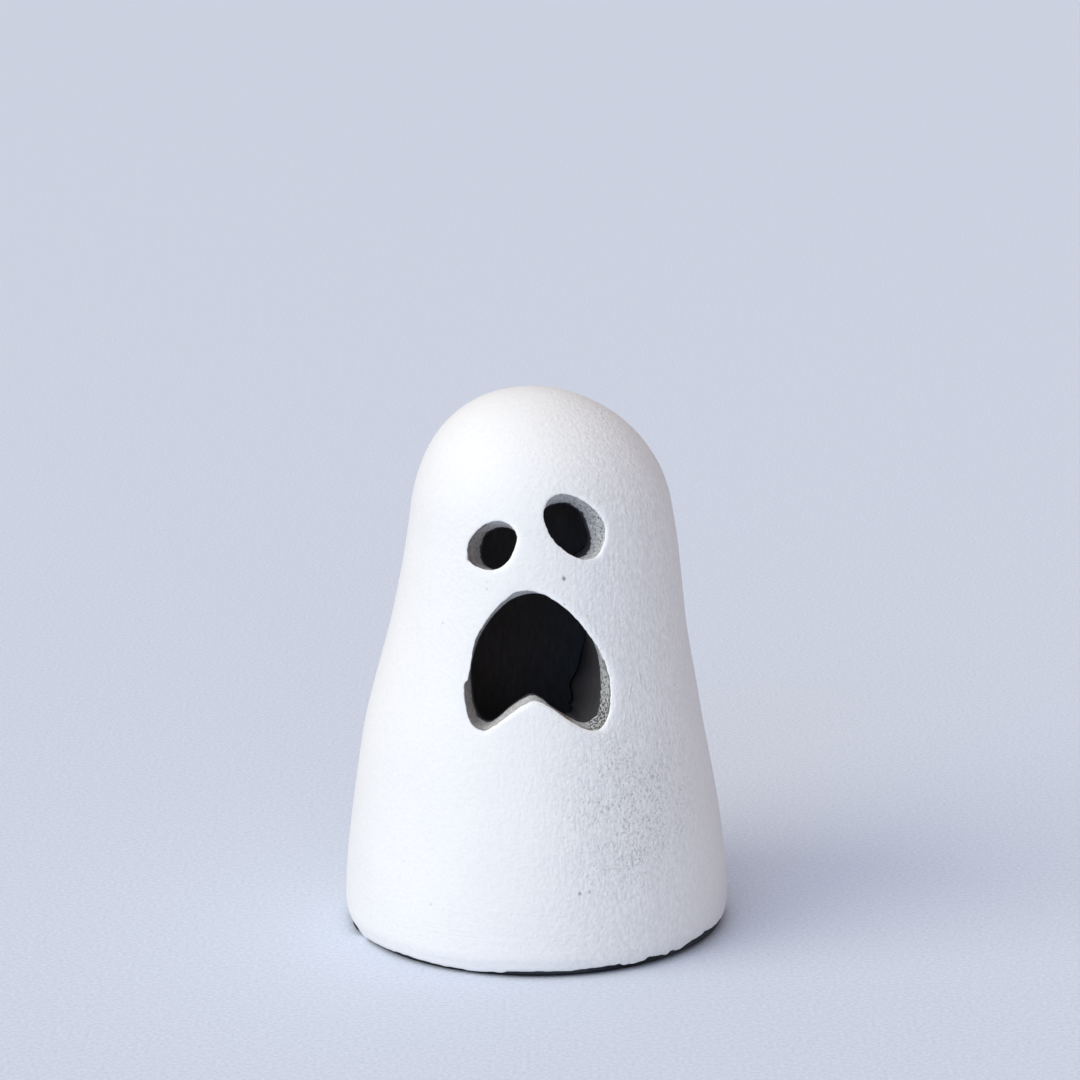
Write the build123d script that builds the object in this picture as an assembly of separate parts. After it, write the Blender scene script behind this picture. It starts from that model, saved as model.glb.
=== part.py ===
# Ghost figure: a hollow cast bell with two eyes and a mouth cut through its
# wall, painted white outside and black inside, standing on a thin felt ring.
# Millimetres, +Z up, the face looks along -Y and z = 0 is the table top.
import os
from math import cos, radians, sin, tan

from build123d import *

# Outside of the bell
HEIGHT = 105.0            # table to the crown of the head
HEAD_RADIUS = 25.2        # ball that the head follows
NECK_LEAN = 7.5           # degrees off upright where the side leaves the ball
WAIST_RADIUS = 29.9
WAIST_HEIGHT = 52.5
WAIST_LEAN = 12.6         # degrees off upright at the waist
SKIRT_RADIUS = 36.8       # widest part
SKIRT_HEIGHT = 4.5
FOOT_TUCK = 0.9           # how far the foot draws in below the skirt

# Layers of the wall, from the outside in
COAT_THICKNESS = 0.5
CAST_THICKNESS = 5.0
LINING_THICKNESS = 0.4

# Felt ring under the foot
PAD_THICKNESS = 1.0
PAD_MARGIN = 0.8          # ring kept back from both edges of the foot

# Eyes: slanted ovals, each pushed in along its own line towards the axis
EYE_PITCH = 16.0          # degrees that the line rises towards the outside
EYE_DRAFT = 10.0          # degrees that each hole narrows on its way in
LEFT_EYE_TURN = -19.0     # degrees round from the front, viewer's left
LEFT_EYE_HEIGHT = 80.0
LEFT_EYE_LONG = 5.5       # half of the long way across
LEFT_EYE_SHORT = 4.3      # half of the short way across
LEFT_EYE_TILT = 37.0      # degrees that the long way slants from level
RIGHT_EYE_TURN = 16.5
RIGHT_EYE_HEIGHT = 83.9
RIGHT_EYE_LONG = 7.4
RIGHT_EYE_SHORT = 4.7
RIGHT_EYE_TILT = -47.0

# Mouth: a tall arch on two round lobes, with a notch standing up between them
MOUTH_HEIGHT = 59.3       # height that the offsets below are measured from
MOUTH_TURN = 0.8          # degrees round from the front
MOUTH_PITCH = 10.0
MOUTH_DRAFT = 12.0
MOUTH_LEAN = 1.5          # the arch leans this far to the viewer's left at its top
MOUTH_TOP = 13.8          # above MOUTH_HEIGHT, along the skin
BROW_X = 6.6
BROW_UP = 10.3
SHOULDER_X = 11.9
SHOULDER_UP = 2.6
CHEEK_X = 14.3            # half of the mouth's full width
CHEEK_DOWN = 6.5
CORNER_X = 13.6
CORNER_DOWN = 11.2
LOBE_X = 10.8
LOBE_DOWN = 13.2
NOTCH_X = -0.8            # the notch stands this far off the mouth's middle
NOTCH_DOWN = 7.3

CUT_REACH = 9.0           # how far each cut runs past both faces of the wall

# Worked-out sizes
CAST_INSET = COAT_THICKNESS
CAVITY_INSET = COAT_THICKNESS + CAST_THICKNESS
HOLLOW_INSET = CAVITY_INSET + LINING_THICKNESS
HEAD_CENTRE = HEIGHT - HEAD_RADIUS


def leaning(radius, height, lean, inset):
    """Point of the side, drawn in by inset square to its slope."""
    return (radius - inset * cos(radians(lean)), height - inset * sin(radians(lean)))


def slope(lean):
    """Downward direction of the side at a given lean."""
    return (sin(radians(lean)), -cos(radians(lean)))


def bell(inset, tuck):
    """Solid bell drawn in by inset from the outside, with a foot that tucks in."""
    ball = HEAD_RADIUS - inset
    crown = (0, HEAD_CENTRE + ball)
    half_way = radians(90 + NECK_LEAN) / 2
    brow = (ball * cos(half_way), HEAD_CENTRE + ball * sin(half_way))
    neck = (ball * cos(radians(NECK_LEAN)), HEAD_CENTRE + ball * sin(radians(NECK_LEAN)))
    waist = leaning(WAIST_RADIUS, WAIST_HEIGHT, WAIST_LEAN, inset)
    skirt = (SKIRT_RADIUS - inset, SKIRT_HEIGHT)
    foot = (SKIRT_RADIUS - inset - tuck, PAD_THICKNESS)
    leans = [slope(NECK_LEAN), slope(WAIST_LEAN), slope(0)]
    with BuildPart() as solid:
        with BuildSketch(Plane.XZ):
            with BuildLine():
                ThreePointArc(crown, brow, neck)
                Spline(neck, waist, skirt, tangents=leans)
                if tuck > 0:
                    TangentArc(skirt, foot, tangent=slope(0))
                else:
                    Line(skirt, foot)
                Polyline(foot, (0, PAD_THICKNESS), crown)
            make_face()
        revolve(axis=Axis.Z)
    return solid.part


def cut_plane(turn, height, pitch, skin_radius):
    """Plane square to a cut's line, touching the skin at the given height."""
    out = Vector(sin(radians(turn)), -cos(radians(turn)), tan(radians(pitch)))
    across = Vector(cos(radians(turn)), sin(radians(turn)), 0)
    on_skin = Vector(skin_radius * out.X, skin_radius * out.Y, height)
    return Plane(origin=on_skin, x_dir=across, z_dir=out)


def tapered_cut(outline, plane, draft):
    """Plug that is true to its outline at the skin and narrows on its way in."""
    inward = HOLLOW_INSET + CUT_REACH
    wide = plane.offset(CUT_REACH) * outline(CUT_REACH * tan(radians(draft)))
    narrow = plane.offset(-inward) * outline(-inward * tan(radians(draft)))
    return loft([wide, narrow], ruled=True)


def eye_cut(turn, height, long_half, short_half, tilt):
    """Plug of one eye."""
    def oval(grow):
        return Rot(0, 0, tilt) * Ellipse(long_half + grow, short_half + grow)

    return tapered_cut(oval, cut_plane(turn, height, EYE_PITCH, HEAD_RADIUS), EYE_DRAFT)


def mouth_cut():
    """Plug of the mouth, a closed smooth curve with the same points on both sides."""
    def heart(grow):
        aslant = grow * sin(radians(45))
        right_side = [
            (BROW_X + aslant, BROW_UP + aslant),
            (SHOULDER_X + grow, SHOULDER_UP),
            (CHEEK_X + grow, -CHEEK_DOWN),
            (CORNER_X + aslant, -CORNER_DOWN - aslant),
            (LOBE_X, -LOBE_DOWN - grow),
        ]
        left_side = [(-x, y) for x, y in reversed(right_side)]
        notch = (NOTCH_X, -NOTCH_DOWN - grow)
        upright = [(0, MOUTH_TOP + grow), *right_side, notch, *left_side]
        lean = MOUTH_LEAN / (MOUTH_TOP + LOBE_DOWN)
        points = [(x - lean * (y + LOBE_DOWN), y) for x, y in upright]
        return make_face(Spline(*points, periodic=True))

    plane = cut_plane(MOUTH_TURN, MOUTH_HEIGHT, MOUTH_PITCH, WAIST_RADIUS)
    return tapered_cut(heart, plane, MOUTH_DRAFT)


def face_cuts():
    """Plugs of both eyes and the mouth."""
    left_eye = eye_cut(
        LEFT_EYE_TURN, LEFT_EYE_HEIGHT, LEFT_EYE_LONG, LEFT_EYE_SHORT, LEFT_EYE_TILT
    )
    right_eye = eye_cut(
        RIGHT_EYE_TURN, RIGHT_EYE_HEIGHT, RIGHT_EYE_LONG, RIGHT_EYE_SHORT, RIGHT_EYE_TILT
    )
    return [left_eye, right_eye, mouth_cut()]


def base_pad():
    """Flat felt ring between the table and the foot of the wall."""
    outer = SKIRT_RADIUS - FOOT_TUCK - PAD_MARGIN
    inner = SKIRT_RADIUS - HOLLOW_INSET + PAD_MARGIN
    with BuildPart() as ring:
        with BuildSketch():
            Circle(outer)
            Circle(inner, mode=Mode.SUBTRACT)
        extrude(amount=PAD_THICKNESS)
    return ring.part


skin = bell(0, FOOT_TUCK)
body = bell(CAST_INSET, FOOT_TUCK)
cavity = bell(CAVITY_INSET, 0)
hollow = bell(HOLLOW_INSET, 0)
cuts = face_cuts()

pieces = {
    "white_coat": skin - body - cuts,
    "cast_shell": body - cavity - cuts,
    "black_lining": cavity - hollow - cuts,
    "base_pad": base_pad(),
}

os.makedirs("parts", exist_ok=True)
for name, piece in pieces.items():
    piece.label = name
    export_step(piece, os.path.join("parts", name + ".step"))
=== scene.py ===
import math

import bmesh
import bpy
import numpy as np
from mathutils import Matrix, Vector, kdtree, noise
from mathutils.geometry import delaunay_2d_cdt


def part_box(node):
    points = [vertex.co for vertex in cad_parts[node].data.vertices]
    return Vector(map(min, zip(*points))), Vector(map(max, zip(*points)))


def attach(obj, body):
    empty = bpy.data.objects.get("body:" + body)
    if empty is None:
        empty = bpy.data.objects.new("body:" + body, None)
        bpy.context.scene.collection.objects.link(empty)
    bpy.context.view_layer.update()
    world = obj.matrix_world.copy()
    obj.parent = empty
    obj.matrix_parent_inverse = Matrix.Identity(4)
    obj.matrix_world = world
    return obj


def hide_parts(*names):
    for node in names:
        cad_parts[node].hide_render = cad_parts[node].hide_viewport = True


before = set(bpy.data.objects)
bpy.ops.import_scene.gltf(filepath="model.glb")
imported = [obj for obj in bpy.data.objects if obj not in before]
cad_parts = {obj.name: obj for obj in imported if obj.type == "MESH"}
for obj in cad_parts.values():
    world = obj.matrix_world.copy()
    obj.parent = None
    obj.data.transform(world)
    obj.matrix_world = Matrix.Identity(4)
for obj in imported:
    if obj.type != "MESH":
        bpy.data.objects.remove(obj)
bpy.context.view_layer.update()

# All sizes below are millimetres in the part's own frame: +Z up, the face looks along -Y.
MM = 0.001


def box_mm(node):
    """Lowest and highest corner of a solid, in millimetres."""
    low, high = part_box(node)
    return np.array(low) / MM, np.array(high) / MM


COAT_LOW, COAT_HIGH = box_mm("white_coat")
CAST_HIGH = box_mm("cast_shell")[1]
LINING_HIGH = box_mm("black_lining")[1]
PAD_HIGH = box_mm("base_pad")[1]

# Sizes taken from the solids
HEIGHT = COAT_HIGH[2]
SKIRT_RADIUS = COAT_HIGH[0]
FOOT_HEIGHT = COAT_LOW[2]
COAT = COAT_HIGH[0] - CAST_HIGH[0]
CAST = CAST_HIGH[0] - LINING_HIGH[0]
PAD_RADIUS = PAD_HIGH[0]

# Sizes of the bell that the boxes don't give, the same as in the solids
HEAD_RADIUS = 25.2
NECK_LEAN = math.radians(7.5)
WAIST_RADIUS = 29.9
WAIST_HEIGHT = 52.5
WAIST_LEAN = math.radians(12.6)
SKIRT_HEIGHT = 4.5
FOOT_TUCK = 0.9
LINING = 0.4
PAD_MARGIN = 0.8
HEAD_CENTRE = HEIGHT - HEAD_RADIUS

# The hand-made bell by height: drift of its axis to the viewer's right, and change of girth as a share
SHAPE_HEIGHT = [0.0, 6.0, 22.0, 40.0, 57.0, 65.0, 76.0, 89.0, 95.0, 99.0, 105.0]
DRIFT = [0.2, 0.2, 0.1, -0.35, 0.4, 0.85, 1.25, 0.9, 0.4, 0.05, -0.9]
GIRTH = [0.009, 0.009, 0.0, 0.0, 0.0, 0.0, -0.002, -0.013, -0.008, 0.0, 0.0]

# Outlines of the holes on the outer skin, as (x, z) seen from the front
MOUTH_POINTS = [
    (-1.4, 72.3), (1.5, 71.6), (4.3, 69.9), (6.8, 67.7), (9.2, 64.8), (11.4, 61.6), (13.0, 58.4),
    (13.9, 55.5), (14.2, 52.2), (13.8, 48.8), (12.4, 46.4), (10.4, 46.1), (7.7, 47.3), (4.6, 49.5),
    (1.6, 51.4), (-0.4, 51.9), (-2.5, 50.9), (-5.6, 48.7), (-8.4, 46.6), (-10.2, 46.2), (-12.1, 47.4),
    (-13.0, 50.0), (-13.3, 52.8), (-13.2, 55.2), (-12.7, 58.0), (-11.7, 61.2), (-9.9, 65.0),
    (-7.2, 68.8), (-4.2, 71.6),
]
LEFT_EYE_POINTS = [
    (-12.8, 78.4), (-12.5, 80.1), (-11.1, 82.4), (-9.0, 84.2), (-6.7, 84.8), (-4.6, 84.1), (-3.4, 82.3),
    (-3.7, 80.3), (-4.7, 78.0), (-6.2, 76.4), (-8.4, 75.5), (-10.8, 75.8), (-12.4, 76.8),
]
RIGHT_EYE_POINTS = [
    (1.5, 86.2), (2.0, 88.2), (3.7, 89.6), (5.6, 89.8), (8.4, 88.7), (11.0, 86.7), (12.7, 84.5),
    (13.2, 82.3), (12.8, 80.0), (11.6, 78.1), (9.7, 77.5), (7.4, 78.1), (5.0, 79.8), (3.1, 81.7),
    (1.9, 84.1),
]

# The same holes where they come through the inner skin
MOUTH_INNER_POINTS = [
    (-0.8, 70.2), (2.4, 69.8), (5.4, 68.3), (8.0, 65.7), (10.0, 62.6), (11.4, 59.0), (12.0, 55.6),
    (12.1, 51.8), (11.7, 48.4), (10.4, 46.5), (8.6, 46.2), (6.0, 47.5), (3.0, 49.4), (1.2, 50.9),
    (-0.7, 51.7), (-2.6, 50.8), (-4.8, 49.2), (-7.0, 47.2), (-8.7, 46.3), (-10.3, 46.9), (-11.4, 49.0),
    (-11.9, 51.8), (-12.0, 55.5), (-11.2, 59.3), (-9.7, 62.8), (-7.4, 66.2), (-4.3, 69.0),
]
LEFT_EYE_INNER_POINTS = [
    (-10.1, 76.8), (-10.0, 78.2), (-9.4, 80.2), (-8.2, 81.3), (-6.3, 82.1), (-4.4, 81.9), (-3.0, 80.7),
    (-3.0, 78.6), (-3.9, 76.4), (-5.5, 74.8), (-7.3, 74.2), (-9.0, 74.6), (-9.9, 75.6),
]
RIGHT_EYE_INNER_POINTS = [
    (1.2, 84.6), (2.0, 86.0), (4.2, 86.7), (6.2, 86.5), (8.3, 84.8), (9.4, 82.6), (10.1, 80.2),
    (9.9, 78.0), (8.8, 76.9), (7.3, 76.6), (5.3, 77.3), (3.2, 78.9), (1.8, 81.0), (1.1, 82.9),
]

RING_COLUMNS = 352        # divisions round the coat; a multiple of 16
FRONT_CROWD = 0.5         # how much closer the divisions stand at the front than at the back
SKIN_STEP = 0.48          # spacing of the coat's rows
FOOT_STEP = 0.25          # spacing of rows close to the lower edge
FOOT_BAND = 3.0           # height of the band with those rows
LIFT_BAND = 7.0           # length over which the rows are drawn up to the ragged edge
HIDDEN_COLUMNS = RING_COLUMNS // 2
HIDDEN_STEP = 1.6         # spacing of rows on faces that never show
LINING_STEP = 1.2
KEEP_OFF = 0.25           # the grid stays at least this far from a hole's loop
CAP_ANGLE = math.radians(55)
FLAT_RADIUS = 27.0        # radius used to lay the front of the wall out flat
MOUTH_DIVISIONS = 288
LEFT_EYE_DIVISIONS = 128
RIGHT_EYE_DIVISIONS = 160


def smooth_closed(points, count):
    """Closed curve through the points, sampled at even steps along its length."""
    knots = np.array(points, float)
    before = np.roll(knots, 1, axis=0)
    after = np.roll(knots, -1, axis=0)
    beyond = np.roll(knots, -2, axis=0)
    fine = 40
    curve = []
    for step in range(fine):
        t = step / fine
        curve.append(0.5 * (2 * knots + (after - before) * t
                            + (2 * before - 5 * knots + 4 * after - beyond) * t ** 2
                            + (3 * knots - before - 3 * after + beyond) * t ** 3))
    dense = np.stack(curve, axis=1).reshape(-1, 2)
    closed = np.vstack([dense, dense[:1]])
    along = np.concatenate([[0], np.cumsum(np.linalg.norm(np.diff(closed, axis=0), axis=1))])
    wanted = np.arange(count) * along[-1] / count
    return np.stack([np.interp(wanted, along, closed[:, k]) for k in range(2)], axis=1)


def smooth_step(low, high, value):
    """0 below low, 1 above high, and a soft change in between."""
    t = np.clip((value - low) / (high - low), 0, 1)
    return t * t * (3 - 2 * t)


def window(value, rise, fall):
    """Soft window: goes up from 0 to 1 over the span rise, and down again over the span fall."""
    return smooth_step(*rise, value) * (1 - smooth_step(*fall, value))


def bump(value, middle, width):
    """Soft bump: 1 at its middle and falling away over its width."""
    return np.exp(-((value - middle) / width) ** 2)


def by_height(values, z):
    """Softly changing value at a height, from its values at SHAPE_HEIGHT."""
    samples = 211
    width = 17
    fine = np.linspace(SHAPE_HEIGHT[0], SHAPE_HEIGHT[-1], samples)
    raw = np.interp(fine, SHAPE_HEIGHT, values)
    padded = np.pad(raw, width // 2, mode="edge")
    soft = np.convolve(padded, np.ones(width) / width, mode="valid")
    return np.interp(z, fine, soft)


def side_curve(start, end, t):
    """Radii and heights of a cubic between two ends, each as (radius, height, slope)."""
    r0, z0, m0 = start
    r1, z1, m1 = end
    span = z1 - z0
    radius = ((2 * t ** 3 - 3 * t ** 2 + 1) * r0 + (t ** 3 - 2 * t ** 2 + t) * span * m0
              + (3 * t ** 2 - 2 * t ** 3) * r1 + (t ** 3 - t ** 2) * span * m1)
    return radius, z0 + span * t


def around(turn):
    """Level directions out from the axis, at angles round from the front."""
    return np.stack([np.sin(turn), -np.cos(turn), np.zeros(len(turn))], axis=1)


class Ripple:
    """Random relief: its height, its wavelength along X, Y and Z, and a shift that sets it apart."""

    def __init__(self, height, size, shift=0.0):
        self.height = height
        self.size = np.asarray(size)
        self.shift = shift

    def at(self, points):
        """Heights at points, about as far below zero as above."""
        scaled = (points + self.shift) / self.size
        return self.height * np.array([noise.noise(p) for p in scaled.tolist()])


class Layer:
    """One surface of the wall, drawn in by inset from the outside of the bell."""

    HEAD_SAMPLES = 120
    SIDE_SAMPLES = 160
    FOOT_SAMPLES = 24

    def __init__(self, inset, tuck, hang=0.0):
        ball = HEAD_RADIUS - inset
        angle = np.linspace(math.pi / 2, NECK_LEAN, self.HEAD_SAMPLES)
        radius = [ball * np.cos(angle)]
        height = [HEAD_CENTRE + ball * np.sin(angle)]
        neck = (radius[0][-1], height[0][-1], -math.tan(NECK_LEAN))
        waist = (WAIST_RADIUS - inset * math.cos(WAIST_LEAN), WAIST_HEIGHT - inset * math.sin(WAIST_LEAN),
                 -math.tan(WAIST_LEAN))
        skirt = (SKIRT_RADIUS - inset, SKIRT_HEIGHT, 0.0)
        for start, end in ((neck, waist), (waist, skirt)):
            r, z = side_curve(start, end, np.linspace(0, 1, self.SIDE_SAMPLES)[1:])
            radius.append(r)
            height.append(z)
        drop = SKIRT_HEIGHT - FOOT_HEIGHT
        t = np.linspace(0, 1 + hang / drop, self.FOOT_SAMPLES)[1:]
        radius.append(SKIRT_RADIUS - inset - tuck * t ** 2)
        height.append(SKIRT_HEIGHT - drop * t)
        self.z = np.concatenate(height)
        self.r = np.concatenate(radius) * (1 + by_height(GIRTH, self.z))
        self.s = np.concatenate([[0], np.cumsum(np.hypot(np.diff(self.r), np.diff(self.z)))])
        dr = np.gradient(self.r, self.s)
        dz = np.gradient(self.z, self.s)
        size = np.hypot(dr, dz)
        self.nr = -dz / size
        self.nz = dr / size
        self.nr[0] = 0.0
        self.nz[0] = 1.0
        self.length = self.s[-1]
        self.cap = ball * CAP_ANGLE

    def at(self, turn, s):
        """Points and outward normals at angles round from the front and lengths from the crown."""
        r = np.interp(s, self.s, self.r)
        z = np.interp(s, self.s, self.z)
        nr = np.interp(s, self.s, self.nr)
        nz = np.interp(s, self.s, self.nz)
        points = np.stack([r * np.sin(turn) + by_height(DRIFT, z), -r * np.cos(turn), z], axis=1)
        normals = np.stack([nr * np.sin(turn), -nr * np.cos(turn), nz], axis=1)
        return points, normals / np.linalg.norm(normals, axis=1)[:, None]

    def under(self, outline):
        """Angles and lengths of the points that show at (x, z) from the front."""
        x, z = outline[:, 0], outline[:, 1]
        s = np.interp(-z, -self.z, self.s)
        r = np.interp(s, self.s, self.r)
        return np.arcsin(np.clip((x - by_height(DRIFT, z)) / r, -1, 1)), s

    def seen_at(self, outline):
        """Points and outward normals that show at (x, z) from the front."""
        return self.at(*self.under(outline))


class Hole:
    """One opening: its outline on the outer skin and the one where it comes through inside."""

    def __init__(self, points, inner_points, count):
        self.outer = smooth_closed(points, count)
        self.centre = self.outer.mean(axis=0)
        self.inner_centre = np.mean(inner_points, axis=0)
        arms = self.outer - self.centre
        inner_arms = smooth_closed(inner_points, 4 * count) - self.inner_centre
        bearing = np.arctan2(arms[:, 1], arms[:, 0])
        inner_bearing = np.arctan2(inner_arms[:, 1], inner_arms[:, 0])
        inner_reach = np.linalg.norm(inner_arms, axis=1)
        reach = np.interp(bearing, inner_bearing, inner_reach, period=2 * math.pi)
        heading = np.stack([np.cos(bearing), np.sin(bearing)], axis=1)
        self.inner = self.inner_centre + reach[:, None] * heading
        self.radius = np.linalg.norm(arms, axis=1).mean()

    def grown(self, distance):
        """Outer outline moved away from the hole by about a distance."""
        return self.centre + (1 + distance / self.radius) * (self.outer - self.centre)

    def inner_grown(self, distance):
        """Inner outline moved away from the hole by about a distance."""
        return self.inner_centre + (1 + distance / self.radius) * (self.inner - self.inner_centre)


HOLES = [
    Hole(MOUTH_POINTS, MOUTH_INNER_POINTS, MOUTH_DIVISIONS),
    Hole(LEFT_EYE_POINTS, LEFT_EYE_INNER_POINTS, LEFT_EYE_DIVISIONS),
    Hole(RIGHT_EYE_POINTS, RIGHT_EYE_INNER_POINTS, RIGHT_EYE_DIVISIONS),
]

COAT_HANG = 0.9           # the coat hangs at most this far below the foot of the casting
CAST_GAP = 0.03           # the casting's face stays this far behind the back of the coat

OUTER = Layer(0.0, FOOT_TUCK, COAT_HANG)
COAT_BACK = Layer(COAT, FOOT_TUCK)
CAST_FACE = Layer(COAT + CAST_GAP, FOOT_TUCK)
CAVITY = Layer(COAT + CAST, 0.0)
HOLLOW = Layer(COAT + CAST + LINING, 0.0)


def quads(a, b, c, d):
    """Faces from four tables of corner numbers."""
    return np.stack([a, b, c, d], axis=-1).reshape(-1, 4)


class Body:
    """Vertices and faces of one closed piece."""

    def __init__(self):
        self.points = []
        self.count = 0
        self.faces = []

    def add(self, points):
        """Adds points and gives their numbers."""
        numbers = np.arange(self.count, self.count + len(points))
        self.points.append(np.asarray(points, float))
        self.count += len(points)
        return numbers

    def strip(self, rows):
        """Quads between successive closed rows of the same length."""
        for low, high in zip(rows, rows[1:]):
            self.faces.extend(quads(low, np.roll(low, -1), np.roll(high, -1), high).tolist())

    def fan(self, fine, coarse):
        """Faces between a closed row and one with half of its points."""
        count = len(fine)
        for k, here in enumerate(coarse.tolist()):
            there = int(coarse[(k + 1) % len(coarse)])
            a, b, c = (int(fine[(2 * k + j) % count]) for j in range(3))
            self.faces.extend([(a, b, here), (b, there, here), (b, c, there)])

    def marked(self, pairs):
        """One value per point: those of the (numbers, values) pairs, and 0 elsewhere."""
        result = np.zeros(self.count)
        for numbers, values in pairs:
            result[numbers] = values
        return result

    def mesh(self, name, **marks):
        """Closed object of the collected faces, without unused points and with marks to paint by."""
        points = np.vstack(self.points)
        used = np.zeros(len(points), bool)
        for face in self.faces:
            used[list(face)] = True
        renumber = np.cumsum(used) - 1
        faces = [[int(renumber[v]) for v in face] for face in self.faces]
        data = bpy.data.meshes.new(name)
        data.from_pydata((points[used] * MM).tolist(), [], faces)
        work = bmesh.new()
        work.from_mesh(data)
        bmesh.ops.recalc_face_normals(work, faces=work.faces)
        work.to_mesh(data)
        work.free()
        data.shade_smooth()
        for mark, values in marks.items():
            data.attributes.new(mark, "FLOAT", "POINT").data.foreach_set("value", values[used])
        piece = bpy.data.objects.new(name, data)
        bpy.context.scene.collection.objects.link(piece)
        return piece


def warp(phase):
    """Angle round from the front for an even phase, closer together at the front."""
    return phase - FRONT_CROWD * np.sin(phase)


def ring_turns(columns):
    """Angles round from the front of a ring's divisions."""
    return warp(-math.pi + 2 * math.pi * np.arange(columns) / columns)


def cap_grid(columns):
    """Square grid mapped to a round cap: the phase of its points and their share of the cap's radius."""
    line = np.linspace(-1, 1, columns // 4 + 1)
    u, v = np.meshgrid(line, line, indexing="ij")
    share = np.maximum(np.abs(u), np.abs(v))
    wide = np.abs(u) >= np.abs(v)
    safe_u = np.where(u == 0, 1, u)
    safe_v = np.where(v == 0, 1, v)
    phase = np.where(wide, math.pi / 4 * v / safe_u + np.where(u < 0, math.pi, 0),
                     math.pi / 2 - math.pi / 4 * u / safe_v + np.where(v < 0, math.pi, 0))
    phase = np.where(share == 0, 0, phase)
    phase = (phase + math.pi) % (2 * math.pi) - math.pi
    return phase, share


def rim_numbers(phase, share, columns):
    """Number of the cap's point on its rim at each column."""
    numbers = np.zeros(columns, int)
    on_rim = np.isclose(share, 1.0)
    column = np.round((phase[on_rim] + math.pi) / (2 * math.pi) * columns).astype(int) % columns
    numbers[column] = np.flatnonzero(on_rim)
    return numbers


def grid_rows(layer, columns, step, foot_step, end_lift):
    """Angles and lengths of the rows below a layer's cap, drawn up at the foot by end_lift."""
    band = layer.length - FOOT_BAND
    wide = np.linspace(layer.cap, band, int(round((band - layer.cap) / step)) + 1)
    foot = np.linspace(band, layer.length, int(round(FOOT_BAND / foot_step)) + 1)
    rows = np.concatenate([wide[1:], foot[1:]])
    turn = ring_turns(columns)
    s = np.repeat(rows, columns)
    if end_lift is not None:
        near_end = smooth_step(layer.length - LIFT_BAND, layer.length, s)
        s = s - near_end * np.tile(end_lift(turn), len(rows))
    return np.tile(turn, len(rows)), s


def inside(points, loop):
    """Which 2D points lie inside a closed loop."""
    result = np.zeros(len(points), bool)
    for (x0, y0), (x1, y1) in zip(loop, np.roll(loop, -1, axis=0)):
        if y0 == y1:
            continue
        crosses = (points[:, 1] < y0) != (points[:, 1] < y1)
        result ^= crosses & (points[:, 0] < (x1 - x0) * (points[:, 1] - y0) / (y1 - y0) + x0)
    return result


def loop_distance(points, loop):
    """Least distance from 2D points to a closed loop."""
    best = np.full(len(points), np.inf)
    for a, b in zip(loop, np.roll(loop, -1, axis=0)):
        along = b - a
        t = np.clip((points - a) @ along / (along @ along), 0, 1)
        best = np.minimum(best, np.linalg.norm(points - a - t[:, None] * along, axis=1))
    return best


def too_near(points, loop, margin):
    """Which 2D points lie inside a hole's loop or too close to it; the margin bounds the search."""
    near = np.all((points > loop.min(axis=0) - margin) & (points < loop.max(axis=0) + margin), axis=1)
    result = np.zeros(len(points), bool)
    result[near] = inside(points[near], loop) | (loop_distance(points[near], loop) < KEEP_OFF)
    return result


def outer_chain(cells):
    """Closed chain of the points round a patch of cells."""
    uses = {}
    for cell in cells.tolist():
        for a, b in zip(cell, cell[1:] + cell[:1]):
            edge = (min(a, b), max(a, b))
            uses[edge] = uses.get(edge, 0) + 1
    follow = {}
    for a, b in (edge for edge, count in uses.items() if count == 1):
        follow.setdefault(a, []).append(b)
        follow.setdefault(b, []).append(a)
    first = next(iter(follow))
    order = [first]
    last, here = None, first
    while True:
        last, here = here, next(v for v in follow[here] if v != last)
        if here == first:
            return order
        order.append(here)


def join(flat, stair, loop):
    """Triangles between the cut edge of the grid and a hole's loop."""
    numbers = stair + loop
    spots = [Vector(flat[v]) for v in numbers]
    edges = [(k, (k + 1) % len(stair)) for k in range(len(stair))]
    edges += [(len(stair) + k, len(stair) + (k + 1) % len(loop)) for k in range(len(loop))]
    found, _, faces, origin, _, _ = delaunay_2d_cdt(spots, edges, [], 0, 1e-9, True)
    middle = np.array([np.mean([found[v] for v in face], axis=0) for face in faces])
    keep = inside(middle, flat[stair]) & ~inside(middle, flat[loop])
    return [[numbers[origin[v][0]] for v in face] for face, use in zip(faces, keep) if use]


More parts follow.
